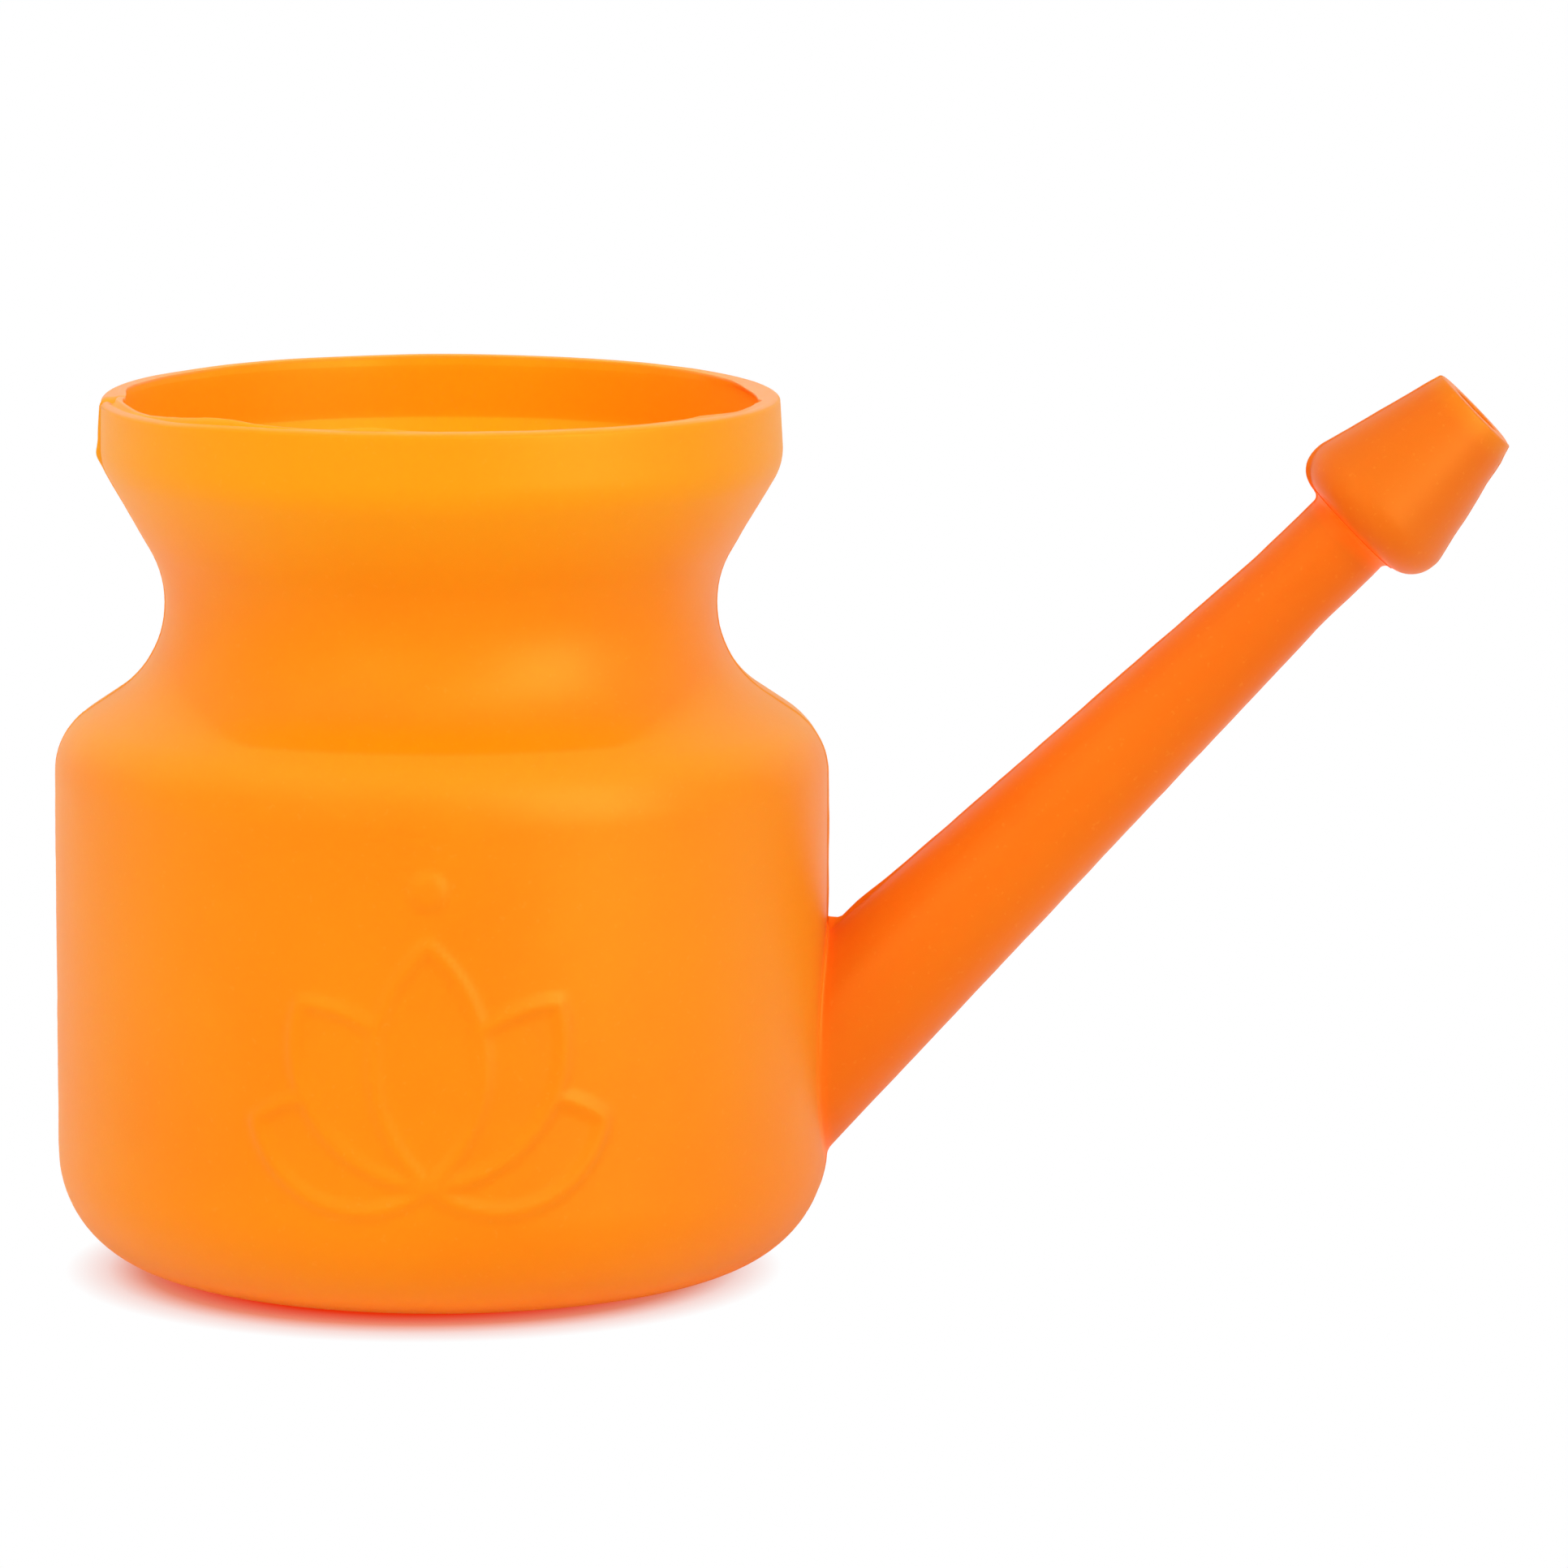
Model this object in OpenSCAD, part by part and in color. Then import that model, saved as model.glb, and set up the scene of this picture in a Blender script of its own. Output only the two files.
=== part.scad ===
// Nasal rinsing pot, moulded in one hollow piece of soft plastic.
// The axis of the belly is Z, the base lies on Z = 0 and the spout leans out along +X.

/* [Body] */
// Outside diameter of the belly
body_d = 90; // [80:1:100]
// Thickness of the moulded wall
wall = 2.5; // [2:0.1:3]
// Height at which the belly turns in to the shoulder
belly_h = 62; // [58:1:70]
// Radius of the round between the base and the belly
foot_round = 13; // [10:0.5:15]
// Radius of the round between the belly and the shoulder
shoulder_round = 8.7; // [6:0.1:10]
// Lean of the shoulder from upright, in degrees
shoulder_lean = 56; // [53:1:60]

/* [Neck and rim] */
// How far the neck draws in from the belly's side where it is narrowest
neck_in = 13; // [11:0.5:15]
// Radius of the hollow round of the neck
neck_round = 12.5; // [10:0.5:15]
// Lean of the collar from upright, in degrees
collar_lean = 30.5; // [27:0.5:34]
// How far the foot of the rim band stands in from the belly's side
rim_in = 5.3; // [3:0.1:7]
// Height of the rim band
rim_h = 8.1; // [6:0.1:12]
// How far the rim band leans in over its height
rim_lean = 0.35; // [0:0.05:0.8]
// Radius of the round at the foot of the rim band
rim_round = 3; // [2:0.1:4]
// Radius of the worn outer edge of the cut rim
edge_round = 0.8; // [0.4:0.1:1]

/* [Spout] */
// Height of the spout's axis where it leaves the belly
spout_z = 26.3; // [24:0.1:31]
// Rise of the spout from level, in degrees
spout_rise = 44.5; // [40:0.5:50]
// Outside diameter of the spout where it leaves the belly
spout_d = 18.5; // [16:0.1:20]
// Length of the stretch of the spout that tapers
taper_l = 75; // [65:1:85]
// Outside diameter of the straight tube below the nozzle
tube_d = 10.9; // [10:0.1:11.2]
// Length of the straight tube below the nozzle
tube_l = 10.4; // [6:0.1:15]

/* [Nozzle] */
// Diameter of the nozzle's back, before its edge is rounded
nozzle_d = 21.4; // [21:0.1:24]
// Diameter of the nozzle's tip
tip_d = 11.5; // [10:0.1:13]
// Length of the nozzle
nozzle_l = 19.9; // [16:0.1:24]
// Radius of the round at the nozzle's back
nozzle_round = 3.4; // [2.5:0.1:3.5]
// Radius of the edge round the outlet
tip_round = 0.5; // [0.3:0.1:0.8]
// Diameter of the water outlet
outlet_d = 6.5; // [5:0.1:7.5]

/* [Parting line] */
// How far the parting line stands proud of the wall
ridge_h = 0.25; // [0.1:0.05:0.4]
// Width of the parting line
ridge_w = 0.7; // [0.4:0.1:1.2]

/* [Ornament] */
// How far the ornament stands proud of the belly
relief_h = 0.6; // [0.3:0.1:1]
// Width of its raised lines
line_w = 2.4; // [1.6:0.1:3]
// Height of the flower's foot above the base
flower_z = 17; // [16:0.5:20]
// Length of the middle petal
petal_l = 27.5; // [24:0.5:30]
// Width of each petal
petal_w = 12.5; // [10:0.5:14]
// Turn from one petal to the next, in degrees
petal_turn = 35; // [30:1:38]
// Diameter of the dot above the flower
dot_d = 4.4; // [3:0.2:6]

/* [Hidden] */
$fn = 160;

// How far the cuts run past the faces they open
past = 1;
// How far each round cuts across the sides it blends, so that it never only touches them
bite = 0.001;
// Radius of the fillet between the tube and the nozzle's back
tube_fillet = 0.6;
// Radius of the soft bend where the taper turns in to the tube
tube_bend = 30;
// Gap between the middle petal's tip and the dot
dot_gap = 4;
// How far the spout's cone is carried back into the hollow before it is cut away
root = 20;

body_r = body_d / 2;
rim_r = body_r - rim_in;
neck_centre_r = body_r - neck_in + neck_round;
neck_centre_z = belly_h
    + (neck_round - (neck_centre_r - body_r) * cos(shoulder_lean)) / sin(shoulder_lean);
rim_z = neck_centre_z
    + (neck_round - (neck_centre_r - rim_r) * cos(collar_lean)) / sin(collar_lean);
pot_h = rim_z + rim_h;
// Distance up the shoulder's line to where it would meet the collar's
shoulder_l = ((body_r - rim_r) * cos(collar_lean) - (belly_h - rim_z) * sin(collar_lean))
    / sin(shoulder_lean + collar_lean);
neck_corner = [body_r - shoulder_l * sin(shoulder_lean), belly_h + shoulder_l * cos(shoulder_lean)];

spout_r = spout_d / 2;
tube_r = tube_d / 2;
outlet_r = outlet_d / 2;
nozzle_s = taper_l + tube_l;
side_l = petal_l * 0.92;
outer_l = petal_l * 0.76;
tip_s = nozzle_s + nozzle_l;

// Corners of the pot's outside, from the middle of the base up to the middle of the mouth
outside = [
    [0, 0],
    [body_r, 0],
    [body_r, belly_h],
    neck_corner,
    [rim_r, rim_z],
    [rim_r - rim_lean, pot_h],
    [0, pot_h]
];

// Corners of the line that runs inside the pot's outside at a distance w, up to a height top
function pot_outline(w, top) = [
    [0, w],
    for (i = [1:4]) moved(outside[i - 1], outside[i], outside[i + 1], w),
    [outside[5][0] - w, top],
    [0, top]
];

function pot_rounds(w, edge) = [
    0, foot_round - w, shoulder_round - w, neck_round + w, max(rim_round - w, 0.5), edge, 0
];

// Corners of the spout and its nozzle, grown by w: distance from the axis, then from the belly
function spout_outline(w) = [
    [0, -root],
    [taper_r(spout_r, tube_r, -root) + w, -root],
    [tube_r + w, taper_l],
    [tube_r + w, nozzle_s - w],
    [nozzle_d / 2 + w, nozzle_s - w],
    [tip_d / 2 + w, tip_s],
    [0, tip_s]
];
spout_rounds = [0, 0, tube_bend, tube_fillet, nozzle_round, tip_round, 0];

passage_outline = [
    [0, -root],
    [taper_r(spout_r - wall, outlet_r, -root), -root],
    [outlet_r, taper_l],
    [outlet_r, tip_s + past],
    [0, tip_s + past]
];

// Radius at distance s of a cone that goes from radius a at the belly to radius b at the tube
function taper_r(a, b, s) = a + (b - a) * s / taper_l;

function unit(v) = v / norm(v);

// Unit vector square to the run from a to b, on its left
function left_of(a, b) = let (u = unit(b - a)) [-u[1], u[0]];

// The corner a-b-c after both its sides have moved to the left by w
function moved(a, b, c, w) =
    let (n = left_of(a, b), m = left_of(b, c))
    b + w * (n + m) / (1 + n * m);

// True where an outline turns left, which is where a counter-clockwise shape stands out
function stands_out(a, b, c) = left_of(a, b) * (c - b) > 0;

// What lies between the corner a-b-c and a round of radius r that blends its sides
module corner_waste(a, b, c, r) {
    u = unit(a - b);
    v = unit(c - b);
    half = acos(u * v) / 2;
    reach = r / tan(half);
    outward = -unit(u + v);
    difference() {
        polygon([b + outward * reach / 2, b + u * reach, b + v * reach]);
        translate(b - outward * r / sin(half))
            circle(r = r + bite);
    }
}

// The wastes of every corner that stands out, or of every corner that doesn't
module corner_wastes(points, rounds, out) {
    for (i = [1:len(points) - 2]) {
        a = points[i - 1];
        b = points[i];
        c = points[i + 1];
        if (rounds[i] > 0 && stands_out(a, b, c) == out)
            corner_waste(a, b, c, rounds[i]);
    }
}

// A closed outline with each corner rounded to its own radius
module rounded(points, rounds) {
    difference() {
        union() {
            polygon(points);
            corner_wastes(points, rounds, false);
        }
        corner_wastes(points, rounds, true);
    }
}

module along_spout() {
    translate([body_r, 0, spout_z])
        rotate([0, 90 - spout_rise, 0])
            children();
}

// The pot's outside and the spout's, both grown by w
module outer_form(w) {
    rotate_extrude()
        rounded(pot_outline(-w, pot_h), pot_rounds(-w, edge_round));
    along_spout()
        rotate_extrude()
            rounded(spout_outline(w), spout_rounds);
}

// The belly's hollow with its mouth, and the passage through the spout to the outlet
module hollow() {
    rotate_extrude()
        rounded(pot_outline(wall, pot_h + past), pot_rounds(wall, 0));
    along_spout()
        rotate_extrude()
            polygon(passage_outline);
}

// The thin ridge where the two halves of the mould met, all round the pot and the spout
module parting_line() {
    reach = body_r + tip_s + nozzle_d;
    intersection() {
        outer_form(ridge_h);
        translate([-reach, -ridge_w / 2, 0])
            cube([2 * reach, ridge_w, reach]);
    }
}

// A pointed petal of length l that stands on the origin, grown by w
module petal(l, w) {
    r = (l * l + petal_w * petal_w) / (4 * petal_w);
    intersection_for (side = [-1, 1])
        translate([side * (r - petal_w / 2), l / 2])
            circle(r = r + w);
}

// The outline of one petal, as a raised line
module petal_line(l) {
    difference() {
        petal(l, line_w / 2);
        petal(l, -line_w / 2);
    }
}

// An open flower of five petals, each behind the one nearer the middle, with a dot above it
module flower() {
    petal_line(petal_l);
    for (side = [-1, 1]) {
        difference() {
            rotate(side * petal_turn)
                petal_line(side_l);
            petal(petal_l, 0);
        }
        difference() {
            rotate(side * 2 * petal_turn)
                petal_line(outer_l);
            rotate(side * petal_turn)
                petal(side_l, 0);
            petal(petal_l, 0);
        }
    }
    translate([0, petal_l + dot_gap + dot_d / 2])
        circle(d = dot_d);
}

// The flower, laid on the front of the belly
module ornament() {
    intersection() {
        translate([0, 0, flower_z])
            rotate([90, 0, 0])
                linear_extrude(body_r + relief_h)
                    flower();
        difference() {
            cylinder(r = body_r + relief_h, h = belly_h);
            translate([0, 0, -past])
                cylinder(r = body_r - wall / 2, h = belly_h + 2 * past);
        }
    }
}

module pot() {
    color("orange")
        difference() {
            union() {
                outer_form(0);
                parting_line();
                ornament();
            }
            hollow();
        }
}

pot();
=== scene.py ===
import math

import bpy
import numpy as np
from mathutils import Matrix, Vector


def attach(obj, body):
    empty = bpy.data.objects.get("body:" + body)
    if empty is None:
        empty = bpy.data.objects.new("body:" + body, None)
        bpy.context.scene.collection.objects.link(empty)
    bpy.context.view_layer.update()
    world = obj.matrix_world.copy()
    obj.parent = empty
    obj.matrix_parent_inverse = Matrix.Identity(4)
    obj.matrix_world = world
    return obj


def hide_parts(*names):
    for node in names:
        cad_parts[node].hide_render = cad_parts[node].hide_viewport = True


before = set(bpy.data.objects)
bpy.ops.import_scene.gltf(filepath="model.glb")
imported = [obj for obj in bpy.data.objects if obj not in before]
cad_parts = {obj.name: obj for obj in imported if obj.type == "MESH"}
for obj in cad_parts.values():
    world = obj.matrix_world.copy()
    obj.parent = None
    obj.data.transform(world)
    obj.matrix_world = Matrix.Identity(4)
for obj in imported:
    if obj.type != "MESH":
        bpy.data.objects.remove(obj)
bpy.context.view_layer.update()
scene = bpy.context.scene
mm = 0.001
print("frame loaded:", ", ".join(sorted(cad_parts)))


# One socket of a node tree. Sums on it add Math nodes, and node() makes any other node.
class Wire:
    def __init__(self, tree, socket=None):
        self.tree = tree
        self.socket = socket

    def node(self, kind, settings=None, values=None, out=0):
        made = self.tree.nodes.new(kind)
        for name, value in (settings or {}).items():
            if name == "stops":
                stops = made.color_ramp.elements
                while len(stops) < len(value):
                    stops.new(0.5)
                for stop, (place, colour) in zip(stops, value):
                    stop.position = place
                    stop.color = colour
            else:
                setattr(made, name, value)
        for name, value in (values or {}).items():
            if isinstance(value, Wire):
                self.tree.links.new(value.socket, made.inputs[name])
            else:
                made.inputs[name].default_value = value
        return Wire(self.tree, made.outputs[out] if len(made.outputs) else None)

    def sums(self, operation, *others):
        return self.node("ShaderNodeMath", {"operation": operation}, dict(enumerate((self, *others))))

    def after(self, operation, first):  # for sums whose first term is a plain number
        return self.node("ShaderNodeMath", {"operation": operation}, {0: first, 1: self})

    def vectors(self, operation, other, out=0):
        return self.node("ShaderNodeVectorMath", {"operation": operation}, {0: self, 1: other}, out)

    def point(self, x, y, z):  # a vector of these
        return self.node("ShaderNodeCombineXYZ", None, {0: x, 1: y, 2: z})

    def __add__(self, other):
        return self.sums("ADD", other)

    def __radd__(self, other):
        return self.after("ADD", other)

    def __sub__(self, other):
        return self.sums("SUBTRACT", other)

    def __rsub__(self, other):
        return self.after("SUBTRACT", other)

    def __mul__(self, other):
        return self.sums("MULTIPLY", other)

    def __rmul__(self, other):
        return self.after("MULTIPLY", other)

    def __truediv__(self, other):
        return self.sums("DIVIDE", other)

    def __rtruediv__(self, other):
        return self.after("DIVIDE", other)

    def __pow__(self, other):
        return self.sums("POWER", other)

    def __neg__(self):
        return self.sums("MULTIPLY", -1.0)

    def __abs__(self):
        return self.sums("ABSOLUTE")

    def parts(self):  # x, y and z of a vector
        first = self.node("ShaderNodeSeparateXYZ", None, {0: self})
        return [Wire(self.tree, socket) for socket in first.socket.node.outputs]

    def ease(self, low, high):  # 0 below low, 1 above high, with a soft start and end
        return self.node("ShaderNodeMapRange", {"interpolation_type": "SMOOTHSTEP"},
                         {"Value": self, "From Min": low, "From Max": high})

    def bell(self, width):  # 1 at zero, and fading over width on both sides
        share = self / width
        return (-(share * share)).sums("EXPONENT")

    def blend(self, first, second):  # a colour, from first at 0 to second at 1
        return self.node("ShaderNodeMix", {"data_type": "RGBA"}, {0: self, 6: first, 7: second}, out=2)

    def noise(self, scale, detail=2.0, rough=0.5):  # of a place
        return self.node("ShaderNodeTexNoise", {"noise_dimensions": "3D"},
                         {"Vector": self, "Scale": scale, "Detail": detail, "Roughness": rough})

    def sway(self, scale, detail=2.0):  # noise of a place, stretched to about -1 to 1
        return (self.noise(scale, detail) - 0.5) * 3.2


def hypotenuse(a, b):
    return (a * a + b * b) ** 0.5


# Geometry Nodes: a tree with named inputs, its use as a modifier, and the plain mesh that comes out
def newTree(name, numbers, others=()):
    tree = bpy.data.node_groups.new(name, "GeometryNodeTree")
    for label, kind in [("Geometry", "Geometry"), *others, *((number, "Float") for number in numbers)]:
        tree.interface.new_socket(label, in_out="INPUT", socket_type="NodeSocket" + kind)
    tree.interface.new_socket("Geometry", in_out="OUTPUT", socket_type="NodeSocketGeometry")
    source = tree.nodes.new("NodeGroupInput")
    return tree, {socket.name: Wire(tree, socket) for socket in source.outputs if socket.name}


def endTree(tree, shape, moves, material):  # moves holds the Offset or the Position
    moved = shape.node("GeometryNodeSetPosition", None, {"Geometry": shape, **moves})
    real = moved.node("GeometryNodeRealizeInstances", None, {0: moved})
    finished = real.node("GeometryNodeSetMaterial", None, {"Geometry": real, "Material": material})
    tree.links.new(finished.socket, tree.nodes.new("NodeGroupOutput").inputs[0])
    return tree


def addTree(piece, tree, values):
    modifier = piece.modifiers.new(tree.name, "NODES")
    modifier.node_group = tree
    for item in tree.interface.items_tree:
        if item.in_out == "INPUT" and item.name in values:
            modifier[item.identifier] = values[item.name]


def makePlain(piece):
    bpy.context.view_layer.update()
    ready = piece.evaluated_get(bpy.context.evaluated_depsgraph_get())
    mesh = bpy.data.meshes.new_from_object(ready)
    piece.modifiers.clear()
    piece.data = mesh
    return mesh


def newMaterial(name):
    material = bpy.data.materials.new(name)
    material.use_nodes = True
    material.node_tree.nodes.clear()
    return material, Wire(material.node_tree)


def newObject(name, data):
    made = bpy.data.objects.new(name, data)
    scene.collection.objects.link(made)
    return made


def meshPoints(mesh):
    flat = np.zeros(len(mesh.vertices) * 3, np.float32)
    mesh.vertices.foreach_get("co", flat)
    return flat.reshape(-1, 3).astype(float)


# Sizes in millimetres. Most are the solid's own, and some edges are rounder here, as worn plastic is.
potSizes = {
    "bellyRadius": 45.0,
    "wall": 2.5,
    "bellyHeight": 62.0,
    "footRound": 13.0,
    "shoulderRound": 8.7,
    "shoulderLean": math.radians(56),
    "neckIn": 13.0,
    "neckRound": 12.5,
    "collarLean": math.radians(30.5),
    "rimIn": 5.3,
    "rimHeight": 8.1,
    "rimLean": 0.35,
    "rimRound": 6.5,
    "edgeRound": 0.8,           # worn outer edge of the cut rim
    "cutRound": 0.14,           # crisp inner edge that the knife left
    "bevel": (0.2, 1.2),        # across and down, inside the cut rim
    "drift": 3.2,               # how far the parting line strays to the front, on the left of the collar
    "driftHeights": (66.0, 92.0),
    "driftTurns": (0.55, 0.15),  # from the left, where the mesh's columns begin to follow it, and fully do
    "columnStep": 1.75,         # between the mesh's columns, and finer over the flower
    "flowerStep": 0.6,
    "flowerReach": 23.5,
}
spoutSizes = {
    "height": 26.3,
    "rise": math.radians(44.5),
    "radius": 9.25,
    "taper": 75.0,
    "tubeRadius": 5.45,
    "tube": 10.4,
    "nozzleRadius": 10.7,
    "tipRadius": 5.75,
    "nozzle": 19.9,
    "nozzleRound": 3.85,
    "tipRound": 0.5,
    "outletRadius": 3.25,
    "outletRound": 0.25,
    "bend": 30.0,               # where the taper passes into the tube, outside and in the passage
    "passageBend": 40.0,
    "fillet": 1.0,
    "holeWidth": 12.6,          # half of the opening left for it in the belly's mesh
    "holeBottom": 9.6,
    "holeTop": 42.0,
    "holeCorner": 0.83,         # turn round the spout that meets the opening's lower corners
    "passageWidth": 10.2,       # half of the opening inside
    "passageBottom": 11.2,
    "levelFrom": 26.0,          # along it, where its mesh's rows no longer follow the joint, and inside
    "levelInside": 20.0,
    "jointRows": (0, 0.13, 0.32, 0.58, 0.92, 1.36, 1.95, 2.75),  # the first rows, from the joint
}


# A line of corners, each (across, up, round, step of the run to it, step of its round), as a fine
# line of points, its running length, and the lengths at which the mesh has a row
def roundedPath(corners):
    fineStep = 0.7  # degrees between the fine line's points in a round
    line, rows = [np.array(corners[0][:2], float)], []
    length = 0.0

    def onward(points, step):
        nonlocal length
        start = length
        for point in points:
            length += float(np.linalg.norm(point - line[-1]))
            line.append(point)
        count = max(1, round((length - start) / step))
        rows.extend(np.linspace(start, length, count, endpoint=False))

    for index in range(1, len(corners)):
        corner = np.array(corners[index][:2], float)
        radius, runStep, roundStep = corners[index][2:]
        if radius <= 0:
            onward([corner], runStep)
            continue
        before = line[-1] - corner
        after = np.array(corners[index + 1][:2], float) - corner
        before, after = before / np.linalg.norm(before), after / np.linalg.norm(after)
        half = math.acos(float(np.clip(before @ after, -1, 1))) / 2
        reach = radius / math.tan(half)
        middle = corner + (before + after) / np.linalg.norm(before + after) * radius / math.sin(half)
        onward([corner + before * reach], runStep)
        first, last = corner + before * reach - middle, corner + after * reach - middle
        sweep = math.atan2(first[0] * last[1] - first[1] * last[0], float(first @ last))
        begin = math.atan2(first[1], first[0])
        turns = begin + sweep * np.linspace(0, 1, 2 + int(abs(math.degrees(sweep)) / fineStep))[1:]
        onward([middle + radius * np.array([math.cos(t), math.sin(t)]) for t in turns], roundStep)
    rows.append(length)
    line = np.array(line)
    runs = np.concatenate([[0], np.cumsum(np.linalg.norm(np.diff(line, axis=0), axis=1))])
    return {"line": line, "runs": runs, "rows": np.array(rows)}


def newCurve(name, lines):  # of straight lines through places in millimetres
    curve = bpy.data.curves.new(name, "CURVE")
    curve.dimensions = "3D"
    for line in lines:
        spline = curve.splines.new("POLY")
        spline.points.add(len(line) - 1)
        for point, (x, y, z) in zip(spline.points, line):
            point.co = (x * mm, y * mm, z * mm, 1)
    return newObject(name, curve)


def shifted(before, corner, after, gap):  # a corner once both its sides have moved left by gap
    first = np.subtract(corner, before) / np.linalg.norm(np.subtract(corner, before))
    second = np.subtract(after, corner) / np.linalg.norm(np.subtract(after, corner))
    left = np.array([-first[1], first[0]])
    right = np.array([-second[1], second[0]])
    return np.array(corner) + gap * (left + right) / (1 + left @ right)


def potPath():
    size = potSizes
    belly, height, wall = size["bellyRadius"], size["bellyHeight"], size["wall"]
    rim, neckRound = belly - size["rimIn"], size["neckRound"]
    lean, collar = size["shoulderLean"], size["collarLean"]
    neckAcross = belly - size["neckIn"] + neckRound
    neckUp = height + (neckRound - (neckAcross - belly) * math.cos(lean)) / math.sin(lean)
    rimUp = neckUp + (neckRound - (neckAcross - rim) * math.cos(collar)) / math.sin(collar)
    top = rimUp + size["rimHeight"]
    reach = ((belly - rim) * math.cos(collar) - (height - rimUp) * math.sin(collar)) / math.sin(lean + collar)
    neck = (belly - reach * math.sin(lean), height + reach * math.cos(lean))
    shape = [(0, 0), (belly, 0), (belly, height), neck, (rim, rimUp), (rim - size["rimLean"], top)]
    inner = [shifted(shape[i - 1], shape[i], shape[i + 1], wall) for i in range(1, 5)]
    mouth = (shape[5][0] - wall, top + 1)
    slope = (inner[3][0] - mouth[0]) / (mouth[1] - inner[3][1])
    bevel = (mouth[0] + slope * (1 + size["bevel"][1]), top - size["bevel"][1])
    edge = (mouth[0] + slope + size["bevel"][0], top)
    return roundedPath([
        (0, 0, 0, 1, 1),
        (*shape[1], size["footRound"], 4.5, 0.85),
        (*shape[2], size["shoulderRound"], 0.6, 0.65),
        (*shape[3], neckRound, 1.1, 0.95),
        (*shape[4], size["rimRound"], 1.2, 0.35),
        (*shape[5], size["edgeRound"], 0.8, 0.17),
        (*edge, size["cutRound"], 0.12, 0.06),
        (*bevel, 1.0, 0.3, 0.15),
        (*inner[3], 0.5, 0.9, 0.15),
        (*inner[2], neckRound + wall, 1.8, 1.5),
        (*inner[1], size["shoulderRound"] - wall, 1.8, 1.2),
        (*inner[0], size["footRound"] - wall, 1.2, 1.5),
        (0, wall, 0, 6.0, 1),
    ]), top


def tubeSlope(inset):  # how the spout's radius changes along it, or its passage's where inset is the wall
    size = spoutSizes
    end = size["outletRadius"] if inset else size["tubeRadius"]
    return (end - size["radius"] + inset) / size["taper"]


def spoutPath():
    size = spoutSizes
    wall = potSizes["wall"]
    start = -15.0  # well inside the belly
    back = size["taper"] + size["tube"]
    tip = back + size["nozzle"]
    return roundedPath([
        (size["radius"] + tubeSlope(0) * start, start, 0, 1, 1),
        (size["tubeRadius"], size["taper"], size["bend"], 1.3, 1.0),
        (size["tubeRadius"], back, size["fillet"], 1.3, 0.15),
        (size["nozzleRadius"], back, size["nozzleRound"], 0.4, 0.4),
        (size["tipRadius"], tip, size["tipRound"], 1.0, 0.12),
        (size["outletRadius"], tip, size["outletRound"], 0.35, 0.1),
        (size["outletRadius"], size["taper"], size["passageBend"], 1.6, 1.5),
        (size["radius"] - wall + tubeSlope(wall) * start, start, 0, 2.5, 1),
    ])


# The spout's own frame: its axis starts on the belly's side and leans out over +X
spoutSeat = np.array([potSizes["bellyRadius"], 0, spoutSizes["height"]])
riseCos, riseSin = math.cos(spoutSizes["rise"]), math.sin(spoutSizes["rise"])
spoutFrame = np.array([[riseSin, 0, -riseCos], [0, 1, 0], [riseCos, 0, riseSin]])


def fromSpout(radius, turn, along):
    local = np.stack([radius * np.cos(turn), radius * np.sin(turn), along + 0 * turn], axis=-1)
    return local @ spoutFrame + spoutSeat


def alongSpout(x, z):  # the wire of a place's length along the spout, in metres
    return (x - spoutSeat[0] * mm) * riseCos + (z - spoutSeat[2] * mm) * riseSin


# How far a point lies outside the belly's side, or the hollow's where inset is the wall
def wallGap(points, inset):
    radius, foot = potSizes["bellyRadius"], potSizes["footRound"]
    out, up = np.hypot(points[:, 0], points[:, 1]), points[:, 2]
    fromRound = np.hypot(np.maximum(out - radius + foot, 0), foot - up) - foot
    return np.where(up < foot, fromRound, out - radius) + inset


# How far a point lies outside the tapered spout, or its passage where inset is the wall
def tubeGap(points, inset):
    local = (points - spoutSeat) @ spoutFrame.T
    slope = tubeSlope(inset)
    gap = np.hypot(local[:, 0], local[:, 1]) - spoutSizes["radius"] + inset - slope * local[:, 2]
    return gap / math.hypot(1, slope)


def meetingLine(turns, inset):  # where the spout's skin meets the belly's, for each turn round the spout
    radius, slope = spoutSizes["radius"] - inset, tubeSlope(inset)
    low, high = np.full(len(turns), -14.5), np.full(len(turns), 14.0)  # along it, in and out of the belly
    for _ in range(50):
        middle = (low + high) / 2
        outside = wallGap(fromSpout(radius + slope * middle, turns, middle), inset) > 0
        high, low = np.where(outside, middle, high), np.where(outside, low, middle)
    return fromSpout(radius + slope * low, turns, low), low


def ease(value, low, high):  # as the wire's own, for plain numbers
    share = np.clip((value - low) / (high - low), 0, 1)
    return share * share * (3 - 2 * share)


# Turn of the parting line on the left, where the mould's halves met askew
fullDrift = potSizes["drift"] / (potSizes["bellyRadius"] - potSizes["rimIn"])


def partingTurn(up):
    return fullDrift * ease(up, *potSizes["driftHeights"])


# Columns of the pot's mesh, close together at the parting line and over the flower
def potColumns():
    size = potSizes
    half = math.pi * size["bellyRadius"]
    near = [0.2, 0.45, 0.8, 1.3]  # from the parting line
    front = -half / 2
    stops = [-half] + [-half + n for n in near] + [front - size["flowerReach"], front + size["flowerReach"]]
    stops += [-n for n in reversed(near)] + [0] + near + [half - n for n in reversed(near)] + [half]
    places = []
    for start, stop in zip(stops, stops[1:]):
        step = size["flowerStep"] if start == front - size["flowerReach"] else size["columnStep"]
        places.extend(np.linspace(start, stop, max(1, round((stop - start) / step)), endpoint=False))
    return np.array(places) / size["bellyRadius"]


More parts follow.
